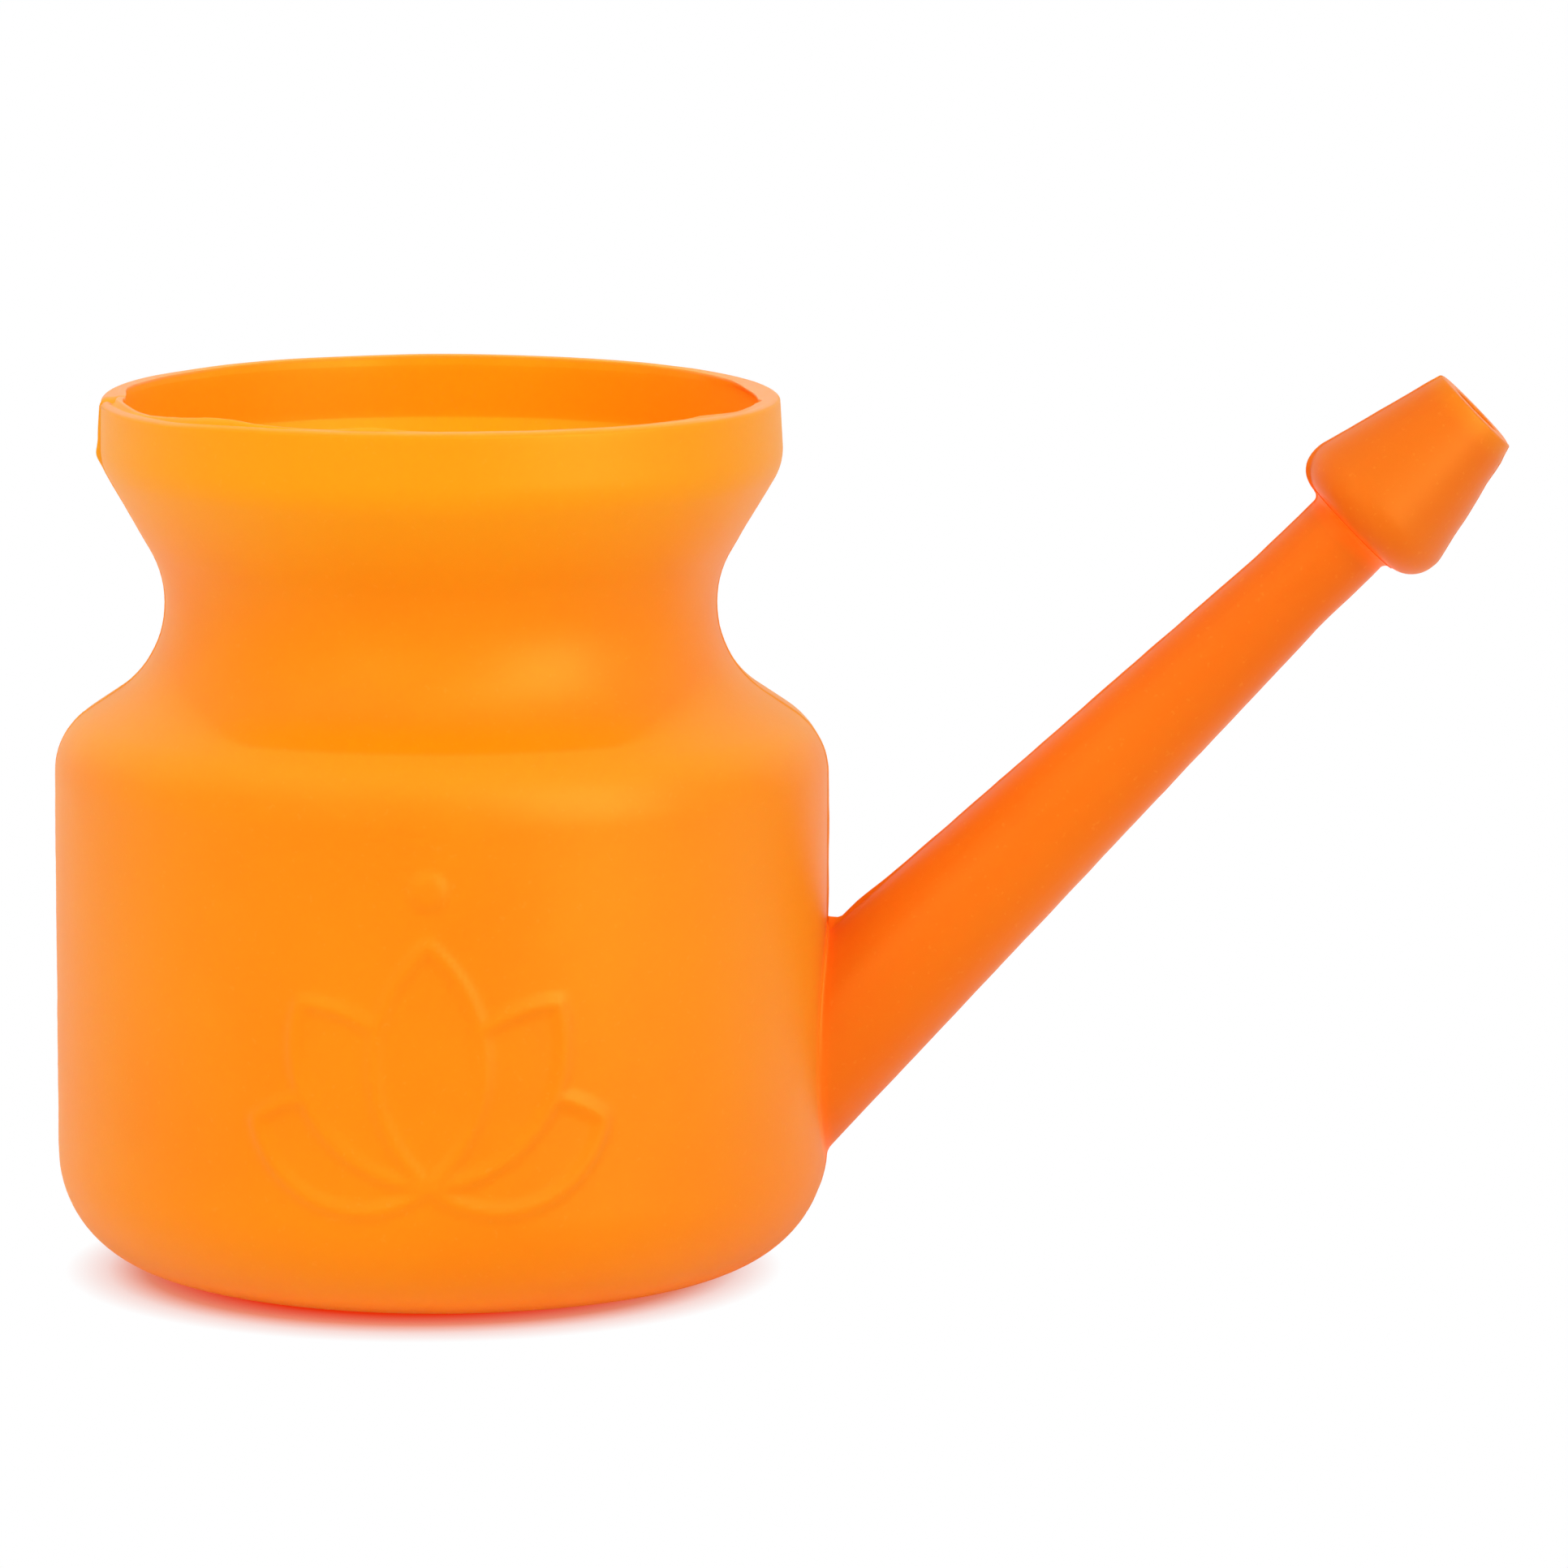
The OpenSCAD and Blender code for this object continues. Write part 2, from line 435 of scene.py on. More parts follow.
# The order of the vertices round an opening in the sheet, from the middle of its low side, and
# towards +Y, so that each meets the spout's column of the same number
def openingRing(low, high, left, right, middle):
    step = 1 if high > low else -1
    ring = [(low, column) for column in range(middle, right)]
    ring += [(row, right) for row in range(low, high, step)]
    ring += [(high, column) for column in range(right, left, -1)]
    ring += [(row, left) for row in range(high, low, -step)]
    return ring + [(low, column) for column in range(left, middle)]


# shares of the way from each opening's edge to the spout's skin, at which a ring of vertices lies
ringShares = {
    "outer": (0.19, 0.37, 0.53, 0.67, 0.78, 0.86, 0.925, 0.97, 1.0),
    "inner": (0.3, 0.58, 0.8, 0.93, 1.0),
}


def potSheet(path, columns):
    size, hole = potSizes, spoutSizes
    rows, turnCount = path["rows"], len(columns)
    across = np.interp(rows, path["runs"], path["line"][:, 0])
    up = np.interp(rows, path["runs"], path["line"][:, 1])
    brim = int(np.argmax(up))

    def columnAt(place):
        return int(np.argmin(np.abs(columns - place / size["bellyRadius"])))

    def rowAt(some, height):  # where the belly's side is
        some = some[across[some] > size["bellyRadius"] - size["footRound"]]
        return some[np.argmin(np.abs(up[some] - height))]

    outerRows, innerRows = np.arange(brim), np.arange(brim, len(rows) - 1)
    low, high = rowAt(outerRows, hole["holeBottom"]), rowAt(outerRows, hole["holeTop"])
    middle, right = columnAt(0), columnAt(hole["holeWidth"])
    left = 2 * middle - right
    if ((high - low) + (right - left)) % 2:
        high += 1
    outer = openingRing(low, high, left, right, middle)

    # the opening inside has half as many vertices, because the passage has half as many columns
    innerRight = columnAt(hole["passageWidth"])
    innerLeft = 2 * middle - innerRight
    innerLow = rowAt(innerRows, hole["passageBottom"])
    innerHigh = innerLow - (len(outer) // 4 - (innerRight - innerLeft))
    inner = openingRing(innerLow, innerHigh, innerLeft, innerRight, middle)

    # turn round the spout of each outer ring vertex
    corner = hole["holeCorner"]
    below = columns[middle:right] / columns[right] * corner
    beside = corner + (math.pi - 2 * corner) * np.arange(high - low) / (high - low)
    above = math.pi - columns[right:middle:-1] / columns[right] * corner
    turns = np.concatenate([below, beside, above, [math.pi]])
    turns = np.concatenate([turns, 2 * math.pi - turns[-2:0:-1]])

    points, faces, places = [], [], {}
    far, close = size["driftTurns"]

    def place(row, column):
        column %= turnCount
        key = (row, 0 if row in (0, len(rows) - 1) else column)
        if key not in places:
            places[key] = len(points)
            turn = columns[key[1]]
            turn += partingTurn(up[row]) * ease(abs(turn), math.pi - far, math.pi - close)
            points.append((turn, rows[row]))
        return places[key]

    for row in range(len(rows) - 1):
        for column in range(turnCount):
            if low <= row < high and left <= column < right:
                continue
            if innerHigh <= row < innerLow and innerLeft <= column < innerRight:
                continue
            around = ((row, column), (row, column + 1), (row + 1, column + 1), (row + 1, column))
            faces.append(list(dict.fromkeys(place(*corner) for corner in around)))

    # patches that lead from each opening to the line where the spout meets the wall
    ends = {}
    ups, runs = path["line"][:, 1], path["runs"]
    brimPoint = int(np.searchsorted(runs, rows[brim]))
    sides = (  # each with the profile's points, upwards
        ("outer", outer, 0, turns, ups[:brimPoint], runs[:brimPoint]),
        ("inner", inner, size["wall"], turns[::2], ups[brimPoint:][::-1], runs[brimPoint:][::-1]))
    for name, ring, inset, spoutTurns, ups, runs in sides:
        meeting, along = meetingLine(spoutTurns, inset)
        keep = ups > inset + 0.5  # all but the base
        goal = np.stack([np.arctan2(meeting[:, 1], meeting[:, 0]),
                         np.interp(meeting[:, 2], ups[keep], runs[keep])], axis=1)
        edge = np.array([(columns[column], rows[row]) for row, column in ring])
        previous = [place(row, column) for row, column in ring]
        for share in ringShares[name]:
            current = list(range(len(points), len(points) + len(ring)))
            points.extend(map(tuple, edge + (goal - edge) * share))
            for k in range(len(ring)):
                n = (k + 1) % len(ring)
                quad = [previous[k], previous[n], current[n], current[k]]
                faces.append(quad if name == "outer" else quad[::-1])
            previous = current
        ends[name] = (previous, along)
    return np.array(points), faces, ends, turns


def spoutSheet(path, turns, outerAlong, innerAlong):
    size, rows, runs = spoutSizes, path["rows"], path["runs"]
    ups = path["line"][:, 1]
    tip = int(np.argmax(ups))
    outerRun = np.interp(outerAlong, ups[:tip], runs[:tip])
    innerRun = np.interp(innerAlong, ups[:tip:-1], runs[:tip:-1])
    outerFixed = float(np.interp(size["levelFrom"], ups[:tip], runs[:tip]))
    innerFixed = float(np.interp(size["levelInside"], ups[:tip:-1], runs[:tip:-1]))

    # rows that follow the joint with the belly, then level ones, then rows that follow the joint inside
    reach = 26.5
    shares = np.concatenate([size["jointRows"], np.linspace(3.8, reach, 18, endpoint=False)]) / reach
    full = [outerRun + (outerFixed - outerRun) * share for share in shares]
    level = rows[(rows >= outerFixed) & (rows <= innerFixed)]
    change = rows[rows > runs[tip]][2]  # on the tip's face, where every second column ends
    full += [np.full(len(turns), run) for run in level if run <= change]
    half = [np.full(len(turns) // 2, run) for run in level if run > change]
    innerShares = np.concatenate([np.linspace(0, 0.86, 12), [0.91, 0.95, 0.98, 1.0]])
    half += [innerFixed + (innerRun - innerFixed) * share for share in innerShares]

    points, faces, starts = [], [], []
    for group, across in ((full, turns), (half, turns[::2])):
        for line in group:
            starts.append(len(points))
            points.extend(zip(across, line))
    count = len(turns)
    for index, (start, after) in enumerate(zip(starts, starts[1:])):
        width = count if index < len(full) - 1 else count // 2
        for k in range(width):
            n = (k + 1) % width
            if index == len(full) - 1:
                faces.append([start + 2 * k, start + 2 * k + 1, start + 2 * n, after + n, after + k])
            else:
                faces.append([start + k, start + n, after + n, after + k])
    return np.array(points), faces, list(range(count)), list(range(starts[-1], starts[-1] + count // 2))


# Geometry Nodes: a flat sheet of (turn, length along the profile) is wrapped round its axis
def turnOnAxisTree(material):
    tree, ins = newTree("turnOnAxis", ["Lean"], [("Profile", "Object"), ("Seat", "Vector")])
    shape = ins["Geometry"]
    turn, run, _ = shape.node("GeometryNodeInputPosition").parts()
    profile = shape.node("GeometryNodeObjectInfo", {"transform_space": "ORIGINAL"},
                         {"Object": ins["Profile"]}, "Geometry")
    across, _, up = shape.node("GeometryNodeSampleCurve", {"mode": "LENGTH"},
                               {"Curves": profile, "Length": run}, "Position").parts()
    flatX = across * turn.sums("COSINE")
    leanCos, leanSin = ins["Lean"].sums("COSINE"), ins["Lean"].sums("SINE")
    flatY = across * turn.sums("SINE")
    spot = shape.point(flatX * leanCos + up * leanSin, flatY, up * leanCos - flatX * leanSin)
    return endTree(tree, shape, {"Position": spot.vectors("ADD", ins["Seat"])}, material)


def wrapSheet(name, sheet, faces, path, tree, seat, lean):
    mesh = bpy.data.meshes.new(name)
    flat = np.column_stack([sheet[:, 0], sheet[:, 1] * mm, np.zeros(len(sheet))])
    mesh.from_pydata(flat.tolist(), [], faces)
    piece = newObject(name, mesh)
    profile = newCurve(name + "Profile", [[(across, 0, up) for across, up in path["line"]]])
    addTree(piece, tree, {"Profile": profile, "Seat": tuple(seat * mm), "Lean": lean})
    points = meshPoints(makePlain(piece)) / mm
    bpy.data.objects.remove(piece)
    bpy.data.objects.remove(profile)
    return points


# Points near two skins that meet move onto one skin with a soft joint
def softenJoint(points, inset, size):
    def skin(p):
        belly, tube = wallGap(p, inset), tubeGap(p, inset)
        near = np.clip(size - np.abs(belly - tube), 0, None) / size
        return np.minimum(belly, tube) - near * near * size / 4

    points = points.copy()
    probe, least = 0.002, 0.25  # to each side for the slope, and the smallest square of a slope
    for _ in range(10):
        slope = [skin(points + step) - skin(points - step) for step in np.eye(3) * probe]
        slope = np.stack(slope, axis=1) / (2 * probe)
        points -= slope * (skin(points) / np.maximum((slope ** 2).sum(axis=1), least))[:, None]
    return points


# The ornament: an open flower of five petals with a dot above it, a common pattern
flowerSizes = {
    "foot": 17.0,
    "petal": 27.5,
    "width": 12.5,
    "turn": math.radians(35),
    "shares": (1.0, 0.92, 0.76),  # length of the middle, side and outer petals
    "points": 90,                 # along each side of a petal
}
raisedSizes = {
    "Height": 0.5 * mm,
    "Core": 0.15 * mm,            # half-width of the lines' crown
    "Edge": 1.35 * mm,            # half-width of their foot
    "Dot Height": 50.7 * mm,
    "Dot Radius": 2.4 * mm,
    "Dot Rise": 0.58 * mm,
}


def petalRadius(length):  # of the two arcs that make a petal
    return (length ** 2 + flowerSizes["width"] ** 2) / (4 * flowerSizes["width"])


def petalGap(points, length, turn):  # below 0 inside the petal
    size = flowerSizes
    cos, sin = math.cos(turn), math.sin(turn)
    x, y = points[:, 0] * cos + points[:, 1] * sin, points[:, 1] * cos - points[:, 0] * sin
    radius = petalRadius(length)
    return np.hypot(np.abs(x) + radius - size["width"] / 2, y - length / 2) - radius


def flowerCurve():
    size = flowerSizes
    petals = [(share * size["petal"], side * step * size["turn"])
              for step, share in enumerate(size["shares"]) for side in ((-1, 1) if step else (1,))]
    lines = []
    slack = 0.01
    for length, turn in petals:
        radius = petalRadius(length)
        reach = math.asin(length / 2 / radius)
        arc = np.linspace(-reach, reach, size["points"])
        cos, sin = math.cos(turn), math.sin(turn)
        for side in (-1, 1):
            x = side * (radius * np.cos(arc) - radius + size["width"] / 2)
            y = length / 2 + radius * np.sin(arc)
            flat = np.stack([x * cos - y * sin, x * sin + y * cos], axis=1)
            hidden = np.zeros(len(flat), bool)  # behind a petal nearer the middle, on the same side
            for otherLength, otherTurn in petals:
                if abs(otherTurn) < abs(turn) - slack and otherTurn * turn >= 0:
                    hidden |= petalGap(flat, otherLength, otherTurn) < -slack
            for run in np.split(np.arange(len(flat)), np.flatnonzero(hidden)):
                seen = [flat[k] for k in run if not hidden[k]]
                if len(seen) > 1:
                    lines.append([(x, -math.sqrt(potSizes["bellyRadius"] ** 2 - x * x), z + size["foot"])
                                  for x, z in seen])
    return newCurve("flowerLines", lines)


# Geometry Nodes: raised lines that follow a curve laid on the skin, and a round drop above them
def raisedLinesTree(material):
    tree, ins = newTree("raisedLines", raisedSizes, [("Lines", "Object")])
    shape = ins["Geometry"]
    lines = shape.node("GeometryNodeObjectInfo", {"transform_space": "ORIGINAL"},
                       {"Object": ins["Lines"]}, "Geometry")
    wires = shape.node("GeometryNodeCurveToMesh", None, {"Curve": lines})
    distance = shape.node("GeometryNodeProximity", {"target_element": "EDGES"}, {0: wires}, "Distance")
    rise = ins["Height"] * (1 - distance.ease(ins["Core"], ins["Edge"]))
    x, y, z = shape.node("GeometryNodeInputPosition").parts()
    dome = 1 - (hypotenuse(x, z - ins["Dot Height"]) / ins["Dot Radius"]) ** 4
    onFront = 1 - y.ease(-44.4 * mm, -43.6 * mm)
    rise = rise.sums("MAXIMUM", ins["Dot Rise"] * dome * onFront)
    normal = shape.node("GeometryNodeInputNormal")
    return endTree(tree, shape, {"Offset": normal.vectors("MULTIPLY", rise)}, material)


# What the mould left: the parting line with its flash, and a skin that is never quite even
mouldSizes = {
    "Ridge Height": 0.2 * mm,
    "Ridge Width": 0.34 * mm,
    "Unevenness": 0.11 * mm,
    "Web Top": 40.3 * mm,       # of the thin web in the corner between the spout and the belly
    "Web Slope": 0.1,
    "End Lean": 0.022,          # of the nozzle's cut end, to the front
    "Seed": 4.0,
}
flashSpots = [  # x, z, how far it reaches and how far it stands out
    (-39.8, 94.9, 1.1, 0.36),
    (-39.8, 97.6, 2.6, 0.2),
    (100.7, 93.2, 2.2, 0.36),
    (48.6, 42.2, 3.0, 0.24),
    (45.2, 50.0, 8.0, 0.12),
]
skinSpots = [  # x, z, reach and height of a hollow and a bump in the collar
    (-40.0, 92.0, 8.0, -0.27),
    (40.0, 90.0, 8.0, 0.14),
]
endSpots = [  # the same at the nozzle's trimmed end
    (123.9, 95.4, 1.2, -0.2),
    (121.2, 91.6, 1.3, -0.13),
    (118.6, 87.6, 1.2, 0.05),
    (117.0, 85.4, 1.3, -0.06),
]


def partingAngle(x, y, z):  # round the pot from the parting line on the left, growing to the front
    low, high = potSizes["driftHeights"]
    return (-y).sums("ARCTAN2", -x) - z.ease(low * mm, high * mm) * fullDrift


def mouldMarksTree(material):
    tree, ins = newTree("mouldMarks", mouldSizes)
    shape = ins["Geometry"]
    where = shape.node("GeometryNodeInputPosition")
    x, y, z = where.parts()
    normal = shape.node("GeometryNodeInputNormal")
    level = normal.parts()[2]
    skin = shape.node("GeometryNodeInputNamedAttribute", None, {"Name": "skin"}, "Attribute")

    def wander(scale, offset, detail=2.0):  # about -1 to 1, always the same for a seed
        shift = shape.point(ins["Seed"] + offset, offset * 1.7, offset * 2.3)
        return where.vectors("ADD", shift).sway(scale, detail)

    def fromSpot(spotX, spotZ):
        return hypotenuse(x - spotX * mm, z - spotZ * mm)

    # parting line, thin and a little uneven, with spots of flash where the mould's halves gaped
    leftGap = abs(partingAngle(x, y, z)) * hypotenuse(x, y)
    gap = leftGap + (abs(y) - leftGap) * x.sums("GREATER_THAN", 0.0)
    across = gap / ins["Ridge Width"]
    crest = (1 - across * across).sums("MAXIMUM", 0.0)
    ridge = ins["Ridge Height"] * (0.75 + 0.25 * wander(260.0, 1.0, 3.0))
    for spotX, spotZ, reach, height in flashSpots:
        ridge = ridge + fromSpot(spotX, spotZ).bell(reach * mm) * (height * mm)
    ridge = ridge * crest * skin * level.ease(-0.96, -0.6)  # none underneath
    trimmed = z.ease(84 * mm, 89 * mm) * x.ease(0, 10 * mm) * (1 - x.ease(42 * mm, 50 * mm))
    ridge = ridge * (1 - trimmed)  # nor on the right of the collar

    # thin web in the corner above the spout
    short = ins["Web Top"] - (x - potSizes["bellyRadius"] * mm) * ins["Web Slope"] - z
    web = short.sums("MAXIMUM", 0.0) * crest.ease(0.0, 0.5) * skin
    web = web * x.ease(44.9 * mm, 45.1 * mm) * z.ease(37.6 * mm, 38.4 * mm)

    # the skin is never quite even, and the nozzle's end was trimmed by hand
    rise = ridge - ins["Unevenness"] * (0.5 + 0.5 * wander(38.0, 7.0)) * z.ease(0.5 * mm, 9 * mm)
    for spotX, spotZ, reach, height in skinSpots:
        rise = rise + fromSpot(spotX, spotZ).bell(reach * mm) * skin * height * mm
    for spotX, spotZ, reach, height in endSpots:
        rise = rise + hypotenuse(fromSpot(spotX, spotZ), y * 0.4).bell(reach * mm) * (height * mm)
    tilt = alongSpout(x, z).ease(103.4 * mm, 105.2 * mm) * (y - 3 * mm) * ins["End Lean"]
    shift = shape.point(tilt * riseCos, 0.0, tilt * riseSin + web)
    offset = normal.vectors("MULTIPLY", rise).vectors("ADD", shift)
    return endTree(tree, shape, {"Offset": offset}, material)


# What the knife left where the rim was cut by hand. Angles are in degrees round the rim: towards the
# front from the parting line on the left, and towards the back from the one on the right.
cutSizes = {
    "Wander": 0.2 * mm,
    "Right Bulge": 1.1 * mm,    # inwards, of the inner edge at both ends of the parting line
    "Left Bulge": 0.75 * mm,
    "Notch Depth": 0.75 * mm,
    "Notch Place": -7.0,
    "Notch Reach": 3.0,
    "Step Depth": 0.42 * mm,    # how much lower the front's cut lies beside the parting line
    "Step End": 44.0,
    "Lip Width": 0.4 * mm,      # the burr along the inner edge, at the front left
    "Lip Widening": 0.9,
    "Lip Rise": 0.42 * mm,
    "Lip End": 62.0,
    "Sheer Rise": 0.4 * mm,     # a last peak of it, beyond its end
    "Cleft Depth": 0.45 * mm,
    "Inner Dip": 0.36 * mm,     # of the inner edge, at the front right
    "Front Drop": 0.24 * mm,    # the cut leans a little to the front, and sinks at both ends
    "End Drop": 0.28 * mm,
    "Seed": 4.0,
}
cutPlaces = {  # where a mark is strongest, and how far it reaches
    "rightBulge": (11.0, 13.0),
    "leftBulge": (-3.0, 7.0),
    "wideLip": (3.0, 4.5),
    "highLip": (46.0, 7.0),
    "lowLip": (23.0, 9.0),
    "sheer": (75.0, 5.5),
    "sheerSide": (75.0, 6.5),
    "innerDip": (-22.0, 9.0),
}


def cutRimTree(material, top):
    tree, ins = newTree("cutRim", cutSizes)
    shape = ins["Geometry"]
    x, y, z = shape.node("GeometryNodeInputPosition").parts()
    out = hypotenuse(x, y)
    size = potSizes
    innerEdge = size["bellyRadius"] - size["rimIn"] - size["rimLean"] - size["wall"] + size["bevel"][0]
    inset = out - innerEdge * mm
    left = partingAngle(x, y, z) * math.degrees(1)
    right = y.sums("ARCTAN2", x) * math.degrees(1)
    leftGap = left * 0.68  # in millimetres along the rim

    def ringNoise(scale, offset):  # noise round the rim alone, about -1 to 1
        return shape.point(x / out, y / out, ins["Seed"] + offset).sway(scale)

    def near(angle, name):
        place, reach = cutPlaces[name]
        return (angle - place).bell(reach)

    def within(low, high):  # 1 beside the inner edge, and 0 beyond this far out
        return 1 - inset.ease(low * mm, high * mm)

    onRim = z.ease((top - 1.6) * mm, (top - 0.1) * mm)
    onRim = onRim * out.ease(34 * mm, 35 * mm) * (1 - out.ease(41 * mm, 42 * mm))

    # the inner edge strays, bulges in at both ends of the parting line, and has a nick at the right
    nick = (1 - abs(right - ins["Notch Place"]) / ins["Notch Reach"]).sums("MAXIMUM", 0.0)
    stray = ins["Wander"] * (0.5 * ringNoise(2.6, 3.0) + 0.5 * ringNoise(9.0, 9.0))
    stray = stray + ins["Notch Depth"] * nick - ins["Right Bulge"] * near(right, "rightBulge")
    stray = (stray - ins["Left Bulge"] * near(left, "leftBulge")) * within(0.2, 1.6) * onRim

    # beside the parting line the front's cut lies lower than the back's, and a burr stands along its
    # inner edge, with a groove outside it
    front = left.ease(-0.4, 0.4)
    step = front * (1 - left.ease(ins["Step End"] - 12, ins["Step End"] + 12)) * ins["Step Depth"]
    lipWidth = ins["Lip Width"] * (1 + ins["Lip Widening"] * near(left, "wideLip"))
    crest = 1 - inset.ease(lipWidth, lipWidth + 0.2 * mm)
    burred = front * (1 - left.ease(ins["Lip End"] - 5, ins["Lip End"] + 5))
    share = 0.2 + near(left, "highLip") - 1.1 * near(left, "lowLip") + 0.15 * ringNoise(14.0, 5.0)
    groove = (inset - lipWidth - 0.4 * mm).bell(0.2 * mm) * burred * 0.24 * mm
    height = burred * crest * (ins["Lip Rise"] * share) - (1 - burred * crest) * (step + groove)

    # behind the parting line the burr is low, and a short one stands at the front right
    behind = (1 - front) * left.ease(-26.0, -16.0) * within(0.7, 0.9)
    short = right.ease(-38.5, -36.5) * (1 - right.ease(-18.0, -13.0)) * within(0.26, 0.44)
    dip = ins["Inner Dip"] * near(right, "innerDip") * within(0.3, 2.0)
    cleft = leftGap.bell(0.3) * ins["Cleft Depth"] * left.ease(-8.0, -4.0)
    sheer = ins["Sheer Rise"] * near(left, "sheer") * within(0.2, 0.5)
    drop = ins["Front Drop"] * 0.5 * (1 - y / out) + ins["End Drop"] * (x / out) ** 2
    height = height - drop + sheer + behind * 0.12 * mm + short * 0.2 * mm - dip - cleft
    height = height + 0.05 * mm * ringNoise(3.2, 14.0)

    # share of the pale cut face, partly a painted sheen: none on the burr's side wall or on the face of the
    # step, which are left darker as painted shade
    wallSide = burred * inset.ease(lipWidth, lipWidth + 0.1 * mm)
    wallSide = wallSide * (1 - inset.ease(lipWidth + 0.3 * mm, lipWidth + 0.55 * mm))
    shadedFaces = wallSide.sums("MAXIMUM", leftGap.bell(0.45) * inset.ease(0.5 * mm, 0.8 * mm))
    pale = onRim * z.ease((top - 0.35) * mm, (top - 0.12) * mm) * (1 - 0.85 * shadedFaces)
    pale = pale * (1 - 0.6 * near(left, "sheerSide") * within(0.3, 0.6))
    marked = shape.node("GeometryNodeStoreNamedAttribute", {"data_type": "FLOAT", "domain": "POINT"},
                        {"Geometry": shape, "Name": "cut", "Value": pale})
    offset = shape.point(stray * x / out, stray * y / out, height * onRim)
    return endTree(tree, marked, {"Offset": offset}, material)


# The soft plastic: its colour with painted light and shade, its fine grain, the paler cut face and faint
# scuffs
plasticSizes = {
    "body": (0.89, 0.257, 0.004, 1),
    "deep": (0.885, 0.23, 0.003, 1),        # in the slow mottling of the body
    "hollow": (0.89, 0.262, 0.0, 1),        # at the neck's foot, which the shoulder lights from below
    # painted light on the shoulder, which faces up to the lamps
    "shoulder": (0.895, 0.305, 0.008, 1),
    "collar": (0.9, 0.318, 0.004, 1),       # painted light: paler towards the rim, where light comes through the thinner wall
    # painted light: the inside is lighter than the outside; it is darker to the right and lower down
    "inside": (1.0, 0.41, 0.002, 1),
    "insideRight": (0.99, 0.32, 0.002, 1),
    "insideLow": (1.0, 0.31, 0.001, 1),
    "throughLight": (0.08, 0.004, 0.0, 1),  # what the wall lets through to the inside
    "creaseLight": (0.42, 0.025, 0.0, 1),   # and to the creases
    "footLight": (0.2, 0.035, 0.0, 1),      # and from the bright floor
    # painted shade: the spout redder and darker than the belly, where less light reaches it
    "spout": (0.845, 0.168, 0.005, 1),
    "spoutDeep": (0.835, 0.146, 0.003, 1),
    "tube": (0.81, 0.138, 0.005, 1),        # the spout's thin end, darker still as painted shade
    "nozzle": (0.785, 0.15, 0.006, 1),
    "tip": (0.8, 0.2, 0.008, 1),            # the thin edge round the outlet
    # the cut face: paler, partly the bare cut and partly a painted sheen of the face
    "cut": (0.95, 0.37, 0.028, 1),
    "cutPale": (0.91, 0.37, 0.14, 1),       # paler still towards both ends of the parting line
    "speck": (1.0, 0.42, 0.06, 1),
    "roughness": 0.46,
    "mottleScale": 34.0,
    "grainScale": 2600.0,
    "speckScale": 1500.0,
    "scuff": (-4.2 * mm, -44.8 * mm, 54.0 * mm),
    "scuffReach": 6.5 * mm,
}
plasticPlaces = {  # from where to where one colour passes into the next, in millimetres
    "aside": (20.0, 36.0),      # out to the sides, where the hollow ends and the shoulder reaches up
    "hollow": (65.2, 65.8),     # heights
    "neck": (66.2, 69.5),
    "shoulder": (59.5, 64.5),
    "collar": (78.0, 97.0),
    "inside": (82.5, 86.5),
    "foot": (0.0, 4.5),
    "insideRight": (0.0, 36.0),
    "cutPale": (24.0, 38.0),
    "tube": (35.0, 78.0),       # along the spout
    "nozzle": (84.5, 89.0),
    "tip": (102.0, 105.2),
}


